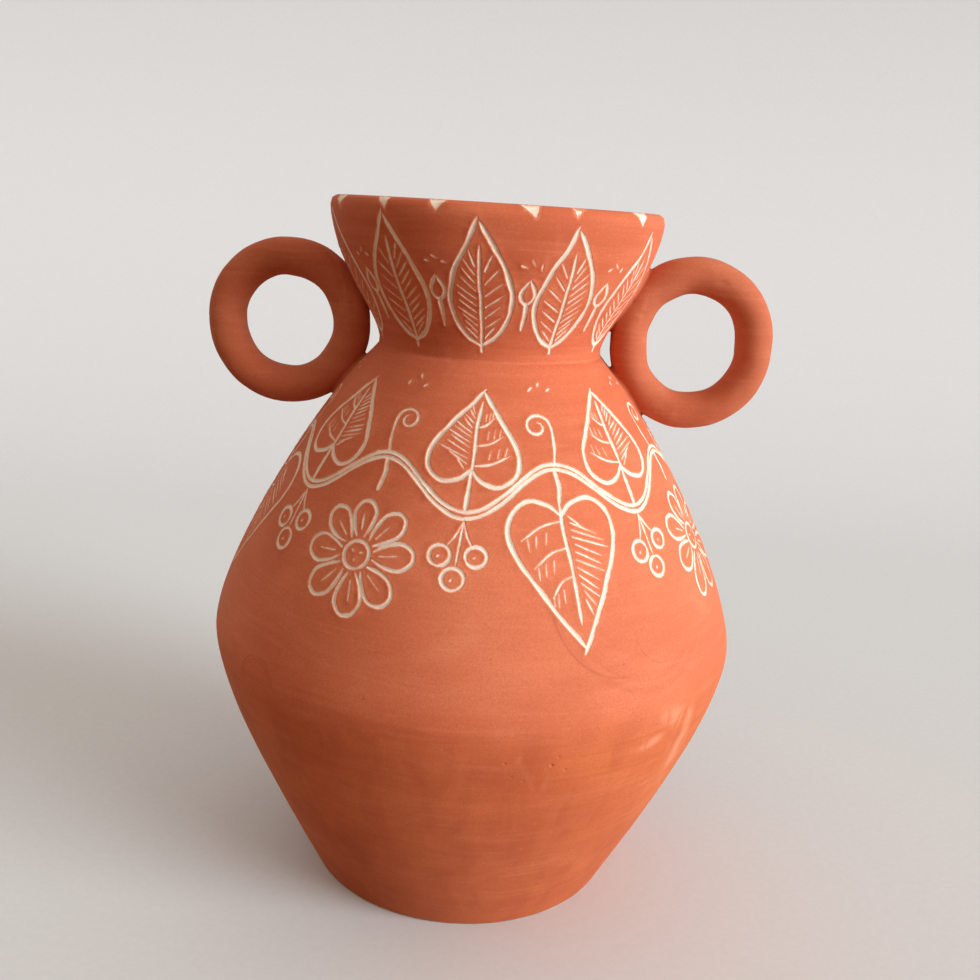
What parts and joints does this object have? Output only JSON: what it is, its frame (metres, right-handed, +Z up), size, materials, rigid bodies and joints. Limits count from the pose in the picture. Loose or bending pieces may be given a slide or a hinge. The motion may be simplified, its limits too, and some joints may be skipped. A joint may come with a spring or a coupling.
{
  "type": "two-handled vase",
  "caption": "Round-bellied clay vase with a flared neck, pinched waist, flat foot and two ring handles nested between neck and shoulder.",
  "frame": {"origin": "centre of the flat foot, on the surface that the vase stands on", "axes": "+Z up along the axis of the vase; +X towards the right-hand ring handle and -X towards the left-hand one; -Y towards the viewer of the picture"},
  "size_m": [0.2339, 0.2212, 0.285],
  "materials": {
    "slip_coated_clay": "matte fired terracotta slip over pale clay, with carved lines cut through to the pale body",
    "handle_clay": "matte hand-rolled terracotta",
    "joint_slip": "dense fired joining slip",
    "luting_clay": "matte smoothed terracotta",
    "liner_glaze": "thin clear-cream liner glaze over pale clay"
  },
  "bodies": {
    "root": {"lower_bowl": "slip_coated_clay", "upper_shoulder": "slip_coated_clay", "neck_collar": "slip_coated_clay", "belly_joint_slip": "joint_slip", "waist_joint_slip": "joint_slip", "left_ring_handle": "handle_clay", "right_ring_handle": "handle_clay", "left_upper_luting": "luting_clay", "left_lower_luting": "luting_clay", "right_upper_luting": "luting_clay", "right_lower_luting": "luting_clay", "glaze_liner": "liner_glaze"}
  },
  "joints": []
}
